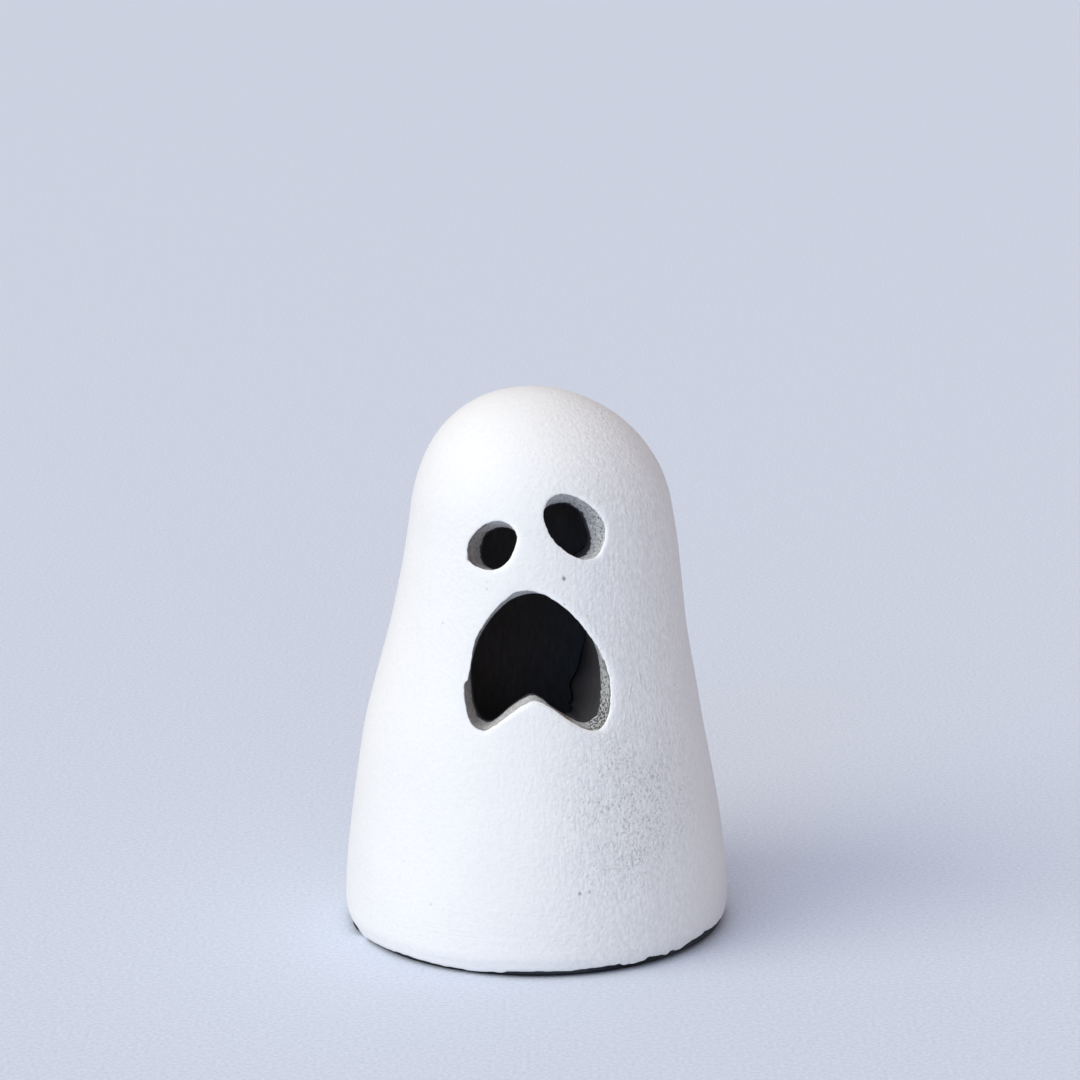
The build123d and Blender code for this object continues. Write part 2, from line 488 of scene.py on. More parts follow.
class Sheet:
    """Grid over a layer that is cut back round each hole and joined to the hole's loop."""

    def __init__(self, body, layer, columns, step, outlines, foot_step=None, end_lift=None):
        first = body.count
        phase, share = cap_grid(columns)
        grid_turn, grid_s = grid_rows(layer, columns, step, foot_step or step, end_lift)
        laid = [layer.under(outline) for outline in outlines]
        self.turn = np.concatenate([warp(phase.ravel()), grid_turn] + [turn for turn, _ in laid])
        self.s = np.concatenate([share.ravel() * layer.cap, grid_s] + [s for _, s in laid])
        self.points, self.normals = layer.at(self.turn, self.s)
        self.numbers = body.add(self.points)
        cap = np.arange(share.size).reshape(share.shape)
        below = share.size + np.arange(len(grid_s)).reshape(-1, columns)
        table = np.vstack([rim_numbers(phase, share, columns), below])
        beside = np.roll(table, -1, axis=1)
        cells = quads(table[:-1], beside[:-1], beside[1:], table[1:])
        flat = np.stack([self.turn * FLAT_RADIUS, self.s], axis=1)
        grid_count = share.size + len(grid_s)
        start = grid_count
        gone = np.zeros(len(cells), bool)
        patches = []
        self.loops = []
        for outline in outlines:
            loop = np.arange(start, start + len(outline))
            start += len(outline)
            bad = too_near(flat[:grid_count], flat[loop], 3 * step)
            cut = bad[cells].any(axis=1) & ~gone
            gone |= cut
            patches.extend(join(flat, outer_chain(cells[cut]), loop.tolist()))
            self.loops.append(first + loop)
        body.faces.extend((quads(cap[:-1, :-1], cap[1:, :-1], cap[1:, 1:], cap[:-1, 1:]) + first).tolist())
        body.faces.extend((cells[~gone] + first).tolist())
        body.faces.extend([[v + first for v in face] for face in patches])
        self.foot = first + table[-1]

    def move(self, body, amount):
        """Moves every point of the sheet, which was added last, along its normal."""
        self.points = self.points + amount[:, None] * self.normals
        body.points[-1] = self.points


class Rim:
    """Frames round a hole's edge: the way in, the way into the wall and the way out of the skin."""

    def __init__(self, hole):
        self.edge, self.out = OUTER.seen_at(hole.outer)
        self.end, _ = HOLLOW.seen_at(hole.inner)
        way = self.end - self.edge
        self.depth = np.linalg.norm(way, axis=1)
        self.way = way / self.depth[:, None]
        along = np.roll(self.edge, -1, axis=0) - np.roll(self.edge, 1, axis=0)
        away = np.cross(self.out, along)
        away /= np.linalg.norm(away, axis=1)[:, None]
        middle = self.edge.mean(axis=0)
        outward = np.sign(np.einsum("ij,ij->i", away, self.edge - middle).sum())
        self.away = away * outward

    def moved(self, points, inward, away=0.0, out=0.0):
        """Points moved along the three ways; each amount is one number or one for each point."""
        inward, away, out = (np.reshape(amount, (-1, 1)) for amount in (inward, away, out))
        return points + inward * self.way + away * self.away + out * self.out


def grown_outlines(distance):
    """Outer outlines of all holes, moved away from them."""
    return [hole.grown(distance) for hole in HOLES]


def inner_outlines(distance):
    """Inner outlines of all holes, moved away from them."""
    return [hole.inner_grown(distance) for hole in HOLES]


def waves(ripples, points):
    """Rows to weigh and add up: ones, and then each of the ripples, slow to fine."""
    return np.array([np.ones(len(points))] + [ripple.at(points) for ripple in ripples])


# Height of the coat's ragged lower edge over the table, as (degrees round from the front, height)
EDGE_POINTS = [
    (-180, 1.1), (-120, 1.0), (-92, 1.4), (-84, 1.5), (-77, 1.9), (-71, 1.9), (-69.5, 0.3), (-67, 0.1),
    (-63, 0.7), (-57, 1.0), (-45, 1.42), (-30, 1.1), (-20, 1.0), (-10, 1.25), (-8.5, 1.7), (0, 1.72),
    (9, 1.5), (16, 1.75), (22, 2.05), (25.4, 1.85), (26.4, 1.45), (31, 1.65), (34, 1.95), (35, 2.45),
    (40, 2.25), (42.5, 1.65), (44, 2.1), (48, 1.95), (55, 2.65), (61, 3.1), (66, 2.65), (75, 2.7),
    (90, 2.1), (130, 1.2), (180, 1.1),
]
EDGE_TEETH = Ripple(6.0, 1.7, 40)
TOOTH_HEIGHT = 0.2
EDGE_NIBBLES = Ripple(0.16, 0.8, 80)
LEAST_WORN = 0.35
WORN_PLACE = 44           # degrees round from the front where the edge is most worn
WORN_WIDTH = 20
BACK_SHORT = 0.1          # the back of the coat ends this much higher than its face
BEAD_HEIGHT = 0.07
BEAD_PLACE = (0.5, 0.45)  # how far above the edge the bead lies, and how wide it is
DIP_DEPTH = 0.04
DIP_PLACE = (1.6, 0.5)
BEAD_SIDE = (-25, 40)     # degrees round where the bead shows, and how far it spreads


def edge_height(turn):
    """Height of the coat's ragged lower edge over the table, round the bell."""
    ring = SKIRT_RADIUS * around(turn)
    place, height = np.array(EDGE_POINTS).T
    worn = LEAST_WORN + (1 - LEAST_WORN) * bump(np.degrees(turn), WORN_PLACE, WORN_WIDTH)
    teeth = TOOTH_HEIGHT * np.tanh(EDGE_TEETH.at(ring)) + EDGE_NIBBLES.at(ring)
    return np.interp(np.degrees(turn), place, height) + worn * teeth


def ragged(turn):
    """How far the coat's lower edge stops short of its lowest line, round the bell."""
    return np.maximum(edge_height(turn) - (FOOT_HEIGHT - COAT_HANG), 0.0)


def ragged_back(turn):
    """The same for the back of the coat, which ends with its face or at the foot of the casting."""
    return np.maximum(ragged(turn) - COAT_HANG + BACK_SHORT, 0.0)


def edge_bead(turn, short):
    """Low bead of paint along the lower edge, left of the front; short is the length to the edge."""
    bead = BEAD_HEIGHT * bump(short, *BEAD_PLACE) - DIP_DEPTH * bump(short, *DIP_PLACE)
    return bead * bump(np.degrees(turn), *BEAD_SIDE)


# Relief of the brushed skin. Low down the strokes run round the bell, and above that they run up.
BROAD_LUMPS = Ripple(0.13, 19.0)
SMALL_LUMPS = Ripple(0.05, 8.0, 30)
BROAD_STROKES = Ripple(0.036, (3.4, 3.4, 26.0), 90)
FINE_STROKES = Ripple(0.018, (1.4, 1.4, 18.0))
LEVEL_STROKES = Ripple(0.012, (20.0, 20.0, 1.5), 17)
GRAINS = Ripple(1.0, 1.25, 60)
BRUSHED_SIDE = 18.0       # the strokes show most here, on the viewer's right
BRUSHED_WIDTH = 9.0
LEAST_STROKES = 0.5
MORE_STROKES = 1.3
CROWN_BAND = (84, 99)     # heights over which the strokes fade
CROWN_FADE = 0.7
LOW_BAND = (8, 24)
SANDY_CENTRE = (18.5, 30.5)
SANDY_WIDTH = (8.5, 11.0)
SANDY_HEIGHT = 0.042
STRAY_HEIGHT = 0.013


def skin_relief(points):
    """Height of the brushed paint over the smooth bell."""
    x, y, z = points.T
    lumps = BROAD_LUMPS.at(points) + SMALL_LUMPS.at(points)
    strokes = BROAD_STROKES.at(points) + FINE_STROKES.at(points)
    strokes *= LEAST_STROKES + MORE_STROKES * bump(x, BRUSHED_SIDE, BRUSHED_WIDTH)
    strokes *= 1 - CROWN_FADE * smooth_step(*CROWN_BAND, z)
    low = 1 - smooth_step(*LOW_BAND, z)
    sandy = bump(x, SANDY_CENTRE[0], SANDY_WIDTH[0]) * bump(z, SANDY_CENTRE[1], SANDY_WIDTH[1]) * (y < 0)
    sand = (STRAY_HEIGHT + SANDY_HEIGHT * sandy) * GRAINS.at(points)
    return lumps + strokes * (1 - low) + LEVEL_STROKES.at(points) * low + sand


# Small pits in the coat that stand out, as (x, z, radius, depth)
SPECKS = [
    (5.35, 74.3, 0.45, 0.4), (5.4, 69.6, 0.3, 0.2), (-9.0, 73.3, 0.3, 0.06), (-9.0, 72.0, 0.3, 0.12),
    (-17.3, 64.6, 0.3, 0.12), (24.0, 72.0, 0.35, 0.08), (11.7, 91.5, 0.3, 0.12), (8.3, 16.4, 0.42, 0.26),
    (10.1, 16.5, 0.36, 0.2), (-19.6, 12.8, 0.35, 0.1), (-24.8, 19.6, 0.3, 0.08), (26.2, 51.0, 0.3, 0.12),
    (9.7, 67.2, 0.3, 0.12),
]
PIT_SEED = 5
SANDY_PITS = 120
SANDY_SPREAD = 5.5
SANDY_X = (0, 30)
SANDY_Z = (6, 60)
SANDY_RADII = (0.45, 0.9)
SANDY_DEPTHS = (0.03, 0.11)
STRAY_PITS = 150
STRAY_SHARES = (0.03, 0.98)
STRAY_RADII = (0.4, 0.7)
STRAY_DEPTHS = (0.02, 0.06)
UNSHADED_DEPTH = 0.1         # shallower pits get no painted shade
PIT_SHADE_RATE = 4             # painted shade per millimetre of depth below that


def scatter_pits():
    """Places on the skin, radii and depths of the small pits in the coat."""
    chance = np.random.default_rng(PIT_SEED)
    sandy_x = SANDY_CENTRE[0] + SANDY_SPREAD * chance.standard_normal(SANDY_PITS)
    sandy_z = SANDY_CENTRE[1] + SANDY_SPREAD * chance.standard_normal(SANDY_PITS)
    listed = np.array(SPECKS)
    front_x = np.concatenate([listed[:, 0], np.clip(sandy_x, *SANDY_X)])
    front_z = np.concatenate([listed[:, 1], np.clip(sandy_z, *SANDY_Z)])
    front_turn, front_s = OUTER.under(np.stack([front_x, front_z], axis=1))
    stray_turn = math.pi * chance.uniform(-1, 1, STRAY_PITS)
    stray_s = OUTER.length * np.sqrt(chance.uniform(*STRAY_SHARES, STRAY_PITS))
    places, _ = OUTER.at(np.concatenate([front_turn, stray_turn]), np.concatenate([front_s, stray_s]))
    radii = np.concatenate([listed[:, 2], chance.uniform(*SANDY_RADII, SANDY_PITS),
                            chance.uniform(*STRAY_RADII, STRAY_PITS)])
    depths = np.concatenate([listed[:, 3], chance.uniform(*SANDY_DEPTHS, SANDY_PITS),
                             chance.uniform(*STRAY_DEPTHS, STRAY_PITS)])
    return places, radii, depths


def pit_relief(points):
    """Depth of the pits and the painted shade in the deeper ones, for points of the skin."""
    tree = kdtree.KDTree(len(points))
    for k, point in enumerate(points.tolist()):
        tree.insert(point, k)
    tree.balance()
    sink = np.zeros(len(points))
    dirt = np.zeros(len(points))
    for place, radius, depth in zip(*scatter_pits()):
        most_dirt = min(1.0, PIT_SHADE_RATE * max(0.0, depth - UNSHADED_DEPTH))
        for _, k, distance in tree.find_range(place.tolist(), radius):
            share = (1 - (distance / radius) ** 2) ** 2
            sink[k] = max(sink[k], depth * share)
            dirt[k] = max(dirt[k], most_dirt * share)
    return sink, dirt


# Paint that hangs over the mouth's left edge
RUN_DEPTH = 0.75
RUN_RISE = (54.3, 55.2)
RUN_FALL = (56.5, 63.5)
RUN_SIDE = -9
# Paint on the sill of the mouth's notch
SILL_REACH = 0.7
SILL_PLACE = (-0.3, 2.4)
SILL_TOP = 56
SILL_WAVE = 0.5
# Chip at the lower left of the left eye, as (middle, width) along X and Z
CHIP_DEPTH = 0.4
CHIP_X = (-12.7, 0.5)
CHIP_Z = (76.9, 0.6)


def thick_paint(edge):
    """Extra paint hanging over the mouth's left edge, with a step at its lower end."""
    return RUN_DEPTH * window(edge[:, 2], RUN_RISE, RUN_FALL) * (edge[:, 0] < RUN_SIDE)


def notch_paint(edge):
    """White paint that runs further over the sill on the mouth's notch."""
    return SILL_REACH * bump(edge[:, 0], *SILL_PLACE) * (edge[:, 2] < SILL_TOP)


def chipped_paint(edge):
    """Paint missing at the lower left of the left eye."""
    return CHIP_DEPTH * bump(edge[:, 0], *CHIP_X) * bump(edge[:, 2], *CHIP_Z)


# Lips of paint round the holes: each size is a base and its shares of the three waves
LIP_WAVES = (Ripple(1.0, 4.5, 5), Ripple(1.0, 1.6, 25), Ripple(1.0, 0.75, 45))
LIP_RISE = (-0.11, 0.05, 0.0, 0.0)
LIP_RADIUS = (0.26, 0.06, 0.0, 0.0)
LIP_OVERHANG = (0.04, 0.0, 0.09, 0.09)
LIP_REACH = (0.44, 0.1, 0.16, 0.22)
LEAST_REACH = 0.05        # the paint reaches at least this far past the lip's round
RIGHT_SPAN = (0.0, 0.7)   # how far the way into the wall points right, on a hole's right side
RIGHT_RADIUS = 0.14       # extra radius there
FACE_LOOP = 1.6           # the coat's grid ends this far outside a hole
BACK_LOOP = 0.9
LIP_ROWS = (1.2, 0.85, 0.6)
LIP_FADE = (0.2, 1.8)
LIP_FALLOFF = 0.9
# the painted highlight on a right-side lip fades over this distance from the edge
HIGHLIGHT_FALLOFF = 0.8
LIP_BENDS = (0, 25, 50, 72, 90)
LIP_ENDS = (0.5, 0.85, 1.0)
END_DEPTH = 0.05
END_SINK = 0.25
FOOT_ROLL = ((0.07, 0.07), (0.3, 0.06), (0.62, 0.0))  # rows under the coat's edge, as (inward, down)


def coat_lip(body, hole, face_loop, back_loop):
    """Rounded lip from the coat's face over a hole's edge; gives marks of a painted highlight on the lips
    of the holes' right sides.
    """
    rim = Rim(hole)
    right = smooth_step(*RIGHT_SPAN, rim.away[:, 0])
    wave = waves(LIP_WAVES, rim.edge)
    rise = np.dot(LIP_RISE, wave)
    radius = np.dot(LIP_RADIUS, wave) + RIGHT_RADIUS * right
    over = np.dot(LIP_OVERHANG, wave) + thick_paint(rim.edge) - chipped_paint(rim.edge)
    reach = np.dot(LIP_REACH, wave) + notch_paint(rim.edge) * (1 + SILL_WAVE * wave[2])
    reach = np.maximum(reach, radius + LEAST_REACH)
    rows = [face_loop]
    marks = []
    for distance in LIP_ROWS:
        points, normals = OUTER.seen_at(hole.grown(distance))
        gap = np.linalg.norm(points - rim.edge, axis=1)
        height = skin_relief(points) * smooth_step(*LIP_FADE, gap) + rise * bump(gap, 0.0, LIP_FALLOFF)
        rows.append(body.add(points + height[:, None] * normals))
        marks.append((rows[-1], right * bump(gap, 0.0, HIGHLIGHT_FALLOFF)))
    for bend in np.radians(LIP_BENDS):
        inward = radius * (1 - math.cos(bend))
        away = radius * (1 - math.sin(bend)) - over * math.sin(bend)
        rows.append(body.add(rim.moved(rim.edge, inward, away, rise * math.cos(bend))))
        marks.append((rows[-1], right))
    for share in LIP_ENDS:
        inward = radius + (reach - radius) * share
        rows.append(body.add(rim.moved(rim.edge, inward, -over * math.sqrt(1 - share ** 2))))
        marks.append((rows[-1], right))
    rows.append(body.add(rim.moved(rim.edge, reach + END_DEPTH, END_SINK)))
    body.strip(rows + [back_loop])
    return marks


def coat_foot(body, front, back):
    """Rounded lower edge from the coat's face to its back."""
    edge = front.points[front.foot]
    normals = front.normals[front.foot]
    rows = [front.foot]
    for inward, down in FOOT_ROLL:
        rows.append(body.add(edge - inward * normals - np.array([0, 0, down])))
    body.strip(rows)
    body.fan(rows[-1], back.foot)


def make_coat():
    """Brushed white coat with rounded lips round the holes and a ragged lower edge."""
    body = Body()
    front = Sheet(body, OUTER, RING_COLUMNS, SKIN_STEP, grown_outlines(FACE_LOOP), FOOT_STEP, ragged)
    sink, dirt = pit_relief(front.points)
    bead = edge_bead(front.turn, OUTER.length - ragged(front.turn) - front.s)
    front.move(body, skin_relief(front.points) + bead - sink)
    back = Sheet(body, COAT_BACK, HIDDEN_COLUMNS, HIDDEN_STEP, grown_outlines(BACK_LOOP), FOOT_STEP,
                 ragged_back)
    marks = []
    for hole, face_loop, back_loop in zip(HOLES, front.loops, back.loops):
        marks += coat_lip(body, hole, face_loop, back_loop)
    coat_foot(body, front, back)
    # painted shade in the deeper pits
    dirt_marks = [(front.numbers, dirt)]
    return body.mesh("ghost_white_coat", dirt=body.marked(dirt_marks), thick=body.marked(marks))


# Raw casting: its bare foot, and the walls of its holes
CAST_LOOP = 0.8
BARE_BAND = (0.05, 0.3)   # heights below the coat's edge over which the foot comes out
BARE_DEPTH = 0.42
LUMP_DEPTH = 0.33
LUMP_PLACE = (-74, 3.5)
WALL_STEPS = 24
WALL_START = 0.42
WALL_SHORT = 0.7
WALL_EASE = 0.15          # share of the wall over which its relief fades at each end
LEAST_ROUGH = 0.55
ROUGH_SIDE = (4, 10)
WALL_GRIT = Ripple(0.07, 0.8)
WALL_WAVES = Ripple(0.05, 2.2, 13)
WALL_PORES = Ripple(1.0, 1.1, 31)
PORE_LIMIT = 0.22
PORE_DEPTH = 0.9
LIP_SHADE_BAND = 0.3           # share of the wall that gets painted shade below the lip
LIP_SHADE_BASE = 0.75
LIP_SHADE_WAVES = Ripple(0.9, 1.2, 52)
LIP_SHADE_ELSEWHERE = 0.2
MOUTH_SHADE_SIDE = (8, 66)      # the mouth gets the painted shade right of an x and below a z
EYE_SHADE_SIDE = (-9, 74)       # the left eye gets it left of an x and above a z


def wall_relief(spot, share):
    """How far grit and pores move a wall's points into the wall, at a share of its depth."""
    rough = LEAST_ROUGH + (1 - LEAST_ROUGH) * smooth_step(*ROUGH_SIDE, spot[:, 0])
    pores = PORE_DEPTH * np.clip(WALL_PORES.at(spot) - PORE_LIMIT, 0, 1)
    ease = 1 - share
    if share < 1 - WALL_EASE:
        ease = math.sin(math.pi * (WALL_EASE + share)) ** 0.5
    return rough * (WALL_GRIT.at(spot) + WALL_WAVES.at(spot) + pores) * ease


def lip_dirt(spot, share):
    """Painted shade in the line below a lip, most on the mouth's right and on the left eye's left."""
    x, _, z = spot.T
    dirty = ((x > MOUTH_SHADE_SIDE[0]) & (z < MOUTH_SHADE_SIDE[1])) | ((x < EYE_SHADE_SIDE[0]) & (z > EYE_SHADE_SIDE[1]))
    shade = max(0.0, 1 - share / LIP_SHADE_BAND) * (LIP_SHADE_BASE + LIP_SHADE_WAVES.at(spot))
    return np.clip(shade * np.where(dirty, 1.0, LIP_SHADE_ELSEWHERE), 0, 1)


def casting_wall(body, hole, outer_loop, inner_loop):
    """Wall of one hole with sand and pores; gives marks of the painted shade below its lip."""
    rim = Rim(hole)
    rows = [outer_loop]
    marks = []
    for step in range(WALL_STEPS + 1):
        share = step / WALL_STEPS
        spot = rim.moved(rim.edge, WALL_START + (rim.depth - WALL_SHORT) * share)
        rows.append(body.add(rim.moved(spot, 0.0, wall_relief(spot, share))))
        marks.append((rows[-1], lip_dirt(spot, share)))
    body.strip(rows + [inner_loop])
    return marks


def make_casting():
    """Raw casting: hole walls with sand and pores, closed by plain faces under the coats."""
    body = Body()
    outside = Sheet(body, CAST_FACE, RING_COLUMNS, HIDDEN_STEP, grown_outlines(CAST_LOOP), FOOT_STEP)
    bare = smooth_step(*BARE_BAND, edge_height(outside.turn) - outside.points[:, 2])
    lump = LUMP_DEPTH * bump(np.degrees(outside.turn), *LUMP_PLACE)
    outside.move(body, (BARE_DEPTH + lump) * bare)
    within = Sheet(body, CAVITY, HIDDEN_COLUMNS, HIDDEN_STEP, inner_outlines(CAST_LOOP))
    marks = []
    for hole, outer_loop, inner_loop in zip(HOLES, outside.loops, within.loops):
        marks += casting_wall(body, hole, outer_loop, inner_loop)
    body.fan(outside.foot, within.foot)
    return body.mesh("ghost_raw_casting", dirt=body.marked(marks))


# Black paint: the film that runs out over the walls, and the roll that stands into the holes
LINING_LOOP = 1.5
LINING_BACK_LOOP = 0.9
LINING_ROWS = (1.0, 0.55)
LINING_STREAKS = Ripple(0.06, (3.0, 3.0, 12.0))
LINING_LUMPS = Ripple(0.1, 11.0, 8)
LINING_WAVES = (Ripple(1.0, 3.2, 3), Ripple(1.0, 1.3, 23), Ripple(1.0, 0.6, 63))
FILM_REACH = (0.5, 0.15, 0.5, 0.7)
FILM_LIMITS = (0.2, 2.0)
FILM = 0.05
FILM_START = 0.2
FILM_END = 0.04
FILM_SINK = 0.2
LEAST_ROLL = 0.15
ROLL_BASE = 2.3
ROLL_GROWTH = 1.6
GROWTH_BAND = (46, 60)
ROLL_SIDE = (5, 11)
ROLL_RISE = (42, 46)
ROLL_FALL = (60, 65)
EYE_ROLL = 0.6
EYE_ROLL_X = (9, 2)
EYE_ROLL_Z = (77, 2)
ROLL_ROWS = (1.0, 0.85, 0.7, 0.55, 0.4, 0.25, 0.1)
ROLL_ACROSS = 0.75
ROLL_DEEP = 3.4
FILM_SHADE = 0.55         # painted shade of the film; the roll's painted shade grows darker from there to its tip


def paint_roll(end):
    """How far black paint stands into a hole behind its inner edge: most on the mouth's right side."""
    x, _, z = end.T
    grown = ROLL_BASE + ROLL_GROWTH * smooth_step(*GROWTH_BAND, z)
    mouth = grown * smooth_step(*ROLL_SIDE, x) * window(z, ROLL_RISE, ROLL_FALL)
    return LEAST_ROLL + mouth + EYE_ROLL * bump(x, *EYE_ROLL_X) * bump(z, *EYE_ROLL_Z)


def lining_edge(body, hole, inner_loop, back_loop):
    """Black paint round one hole's inner edge; gives marks of its painted shade, darker deeper into the
    hole.
    """
    rim = Rim(hole)
    reach = np.clip(np.dot(FILM_REACH, waves(LINING_WAVES, rim.end)), *FILM_LIMITS)
    roll = paint_roll(rim.end)
    rows = [inner_loop]
    marks = []
    for distance in LINING_ROWS:
        points, _ = HOLLOW.seen_at(hole.inner_grown(distance))
        rows.append(body.add(points))
    for share in ROLL_ROWS:
        rows.append(body.add(rim.moved(rim.end, ROLL_DEEP * roll * share, -ROLL_ACROSS * roll * share)))
        marks.append((rows[-1], FILM_SHADE + (1 - FILM_SHADE) * share))
    for depth, away in ((FILM_START, -FILM), (reach, -FILM), (reach + FILM_END, FILM_SINK)):
        rows.append(body.add(rim.moved(rim.end, -depth, away)))
        marks.append((rows[-1], FILM_SHADE))
    body.strip(rows + [back_loop])
    return marks


def make_lining():
    """Black paint inside, running a little way round the inner edge of each hole."""
    body = Body()
    inner = Sheet(body, HOLLOW, HIDDEN_COLUMNS, LINING_STEP, inner_outlines(LINING_LOOP))
    inner.move(body, LINING_STREAKS.at(inner.points) + LINING_LUMPS.at(inner.points))
    back = Sheet(body, CAVITY, HIDDEN_COLUMNS, HIDDEN_STEP, inner_outlines(LINING_BACK_LOOP))
    marks = []
    for hole, inner_loop, back_loop in zip(HOLES, inner.loops, back.loops):
        marks += lining_edge(body, hole, inner_loop, back_loop)
    body.strip([inner.foot, back.foot])
    return body.mesh("ghost_black_lining", dirt=body.marked(marks))


PAD_CORNER = 0.22
PAD_FUZZ = Ripple(0.1, 0.8)


def make_pad():
    """Thin felt ring with soft fuzzy edges."""
    body = Body()
    outer = PAD_RADIUS
    inner = SKIRT_RADIUS - COAT - CAST - LINING + PAD_MARGIN
    middle = (inner + outer) / 2
    half = FOOT_HEIGHT / 2
    top = FOOT_HEIGHT - PAD_CORNER
    section = [
        (inner, PAD_CORNER), (inner + PAD_CORNER, 0.0), (middle, 0.0), (outer - PAD_CORNER, 0.0),
        (outer, PAD_CORNER), (outer, half), (outer, top),
        (outer - PAD_CORNER, FOOT_HEIGHT), (middle, FOOT_HEIGHT), (inner + PAD_CORNER, FOOT_HEIGHT),
        (inner, top), (inner, half),
    ]
    out = around(ring_turns(RING_COLUMNS))
    rows = []
    for radius, z in section:
        ring = radius * out + np.array([0, 0, z])
        if radius == outer:
            ring += PAD_FUZZ.at(ring)[:, None] * out
        rows.append(body.add(ring))
    body.strip(rows + rows[:1])
    return body.mesh("ghost_felt_pad")


class Paint:
    """Builds one node material. A source is a (node, output) pair, and each step gives one back."""

    def __init__(self, name):
        self.material = bpy.data.materials.new(name)
        self.material.use_nodes = True
        self.tree = self.material.node_tree
        self.tree.nodes.clear()
        self.shader = self.add("ShaderNodeBsdfPrincipled")
        output = self.add("ShaderNodeOutputMaterial")
        self.feed((self.shader, "BSDF"), output.inputs["Surface"])
        self.place = (self.add("ShaderNodeTexCoord"), "Object")

    def add(self, kind, **settings):
        """New node of a kind."""
        node = self.tree.nodes.new(kind)
        for key, value in settings.items():
            setattr(node, key, value)
        return node

    def feed(self, value, socket):
        """Links a source to a socket, or sets the socket to a number, a vector or a colour."""
        if isinstance(value, tuple) and isinstance(value[0], bpy.types.Node):
            self.tree.links.new(value[0].outputs[value[1]], socket)
        else:
            socket.default_value = value

    def give(self, name, value):
        """Sets one input of the shader."""
        self.feed(value, self.shader.inputs[name])

    def mark(self, name):
        """Values of one of the mesh's marks."""
        return self.add("ShaderNodeAttribute", attribute_name=name), "Fac"

    def noise(self, scale, detail, roughness):
        """Noise with a number of waves per millimetre, the same or one along each axis."""
        mapping = self.add("ShaderNodeMapping")
        mapping.inputs["Scale"].default_value = np.broadcast_to(scale, 3) / MM
        self.feed(self.place, mapping.inputs["Vector"])
        texture = self.add("ShaderNodeTexNoise")
        texture.inputs["Scale"].default_value = 1.0
        texture.inputs["Detail"].default_value = detail
        texture.inputs["Roughness"].default_value = roughness
        self.feed((mapping, "Vector"), texture.inputs["Vector"])
        return texture, "Fac"

    def patch(self, centre, size, lean=0.0):
        """Soft patch, 1 in its middle and 0 at its edge; lean is the angle that its top leans right."""
        mapping = self.add("ShaderNodeMapping", vector_type="TEXTURE")
        mapping.inputs["Location"].default_value = np.array(centre) * MM
        mapping.inputs["Rotation"].default_value = (0, lean, 0)
        mapping.inputs["Scale"].default_value = np.broadcast_to(size, 3) * MM
        self.feed(self.place, mapping.inputs["Vector"])
        gradient = self.add("ShaderNodeTexGradient", gradient_type="SPHERICAL")
        self.feed((mapping, "Vector"), gradient.inputs["Vector"])
        return gradient, "Fac"

    def ramp(self, source, low, high):
        """Colour that changes between two stops, each as (value, colour)."""
        node = self.add("ShaderNodeValToRGB")
        for element, (position, colour) in zip(node.color_ramp.elements, (low, high)):
            element.position = position
            element.color = colour
        self.feed(source, node.inputs["Fac"])
        return node, "Color"

    def range(self, source, start, end):
        """Carries a source over from the two values of start to the two of end."""
        node = self.add("ShaderNodeMapRange")
        names = ("From Min", "From Max", "To Min", "To Max")
        for name, value in zip(names, (*start, *end)):
            node.inputs[name].default_value = value
        self.feed(source, node.inputs["Value"])
        return node, "Result"

    def along(self, axis, start, end):
        """The same for the place along X, Y or Z, in millimetres."""
        split = self.add("ShaderNodeSeparateXYZ")
        self.feed(self.place, split.inputs["Vector"])
        return self.range((split, axis), [value * MM for value in start], end)

    def math(self, operation, *values):
        """Math node on sources or numbers."""
        node = self.add("ShaderNodeMath", operation=operation)
        for socket, value in zip(node.inputs, values):
            self.feed(value, socket)
        return node, 0

    def product(self, a, b):
        """Two sources or numbers multiplied."""
        return self.math("MULTIPLY", a, b)

    def weighted(self, terms):
        """Sum of sources, each times its weight."""
        total = 0.0
        for source, weight in terms:
            total = self.math("MULTIPLY_ADD", source, weight, total)
        return total

    def mix(self, factor, a, b, blend="MIX"):
        """Mix of two colours by a factor."""
        node = self.add("ShaderNodeMix", data_type="RGBA", blend_type=blend)
        factor_input, a_input, b_input, colour_output = 0, 6, 7, 2
        self.feed(factor, node.inputs[factor_input])
        self.feed(a, node.inputs[a_input])
        self.feed(b, node.inputs[b_input])
        return node, colour_output

    def bump(self, height, strength, distance):
        """Fine relief of the shader, with its height in millimetres."""
        node = self.add("ShaderNodeBump")
        node.inputs["Strength"].default_value = strength
        node.inputs["Distance"].default_value = distance * MM
        self.feed(height, node.inputs["Height"])
        self.give("Normal", (node, "Normal"))


# Hair-thin ridges that the brush left, as (x, z, length, degrees that the top leans to the right)
BRUSH_MARKS = [
    (17.7, 52.7, 5.6, 12), (19.5, 54.4, 2.6, -13), (20.6, 42.7, 2.6, 2), (16.7, 48.0, 2.2, 9),
    (16.8, 84.9, 4.4, -34), (17.4, 84.6, 2.2, -55), (14.8, 69.3, 3.6, 3), (21.5, 59.1, 3.2, 4),
    (23.6, 47.6, 3.0, -4),
]
MARK_WIDTH = 0.28
MARK_DEPTH = 3.0
SPECK_STRENGTH = 3        # painted shade of a speck per millimetre of its depth
BRUSHED_HALF = (20.0, 5000.0, 5000.0)
SIDE_SHARES = (0.0, 0.8)  # values of the brushed side's patch between which it takes hold
SANDY_PATCH = ((18.2, -29.0, 29.8), (19.0, 34.0, 22.0))
STROKE_BAND = (10, 24)    # heights between which strokes that run round give way to upright ones

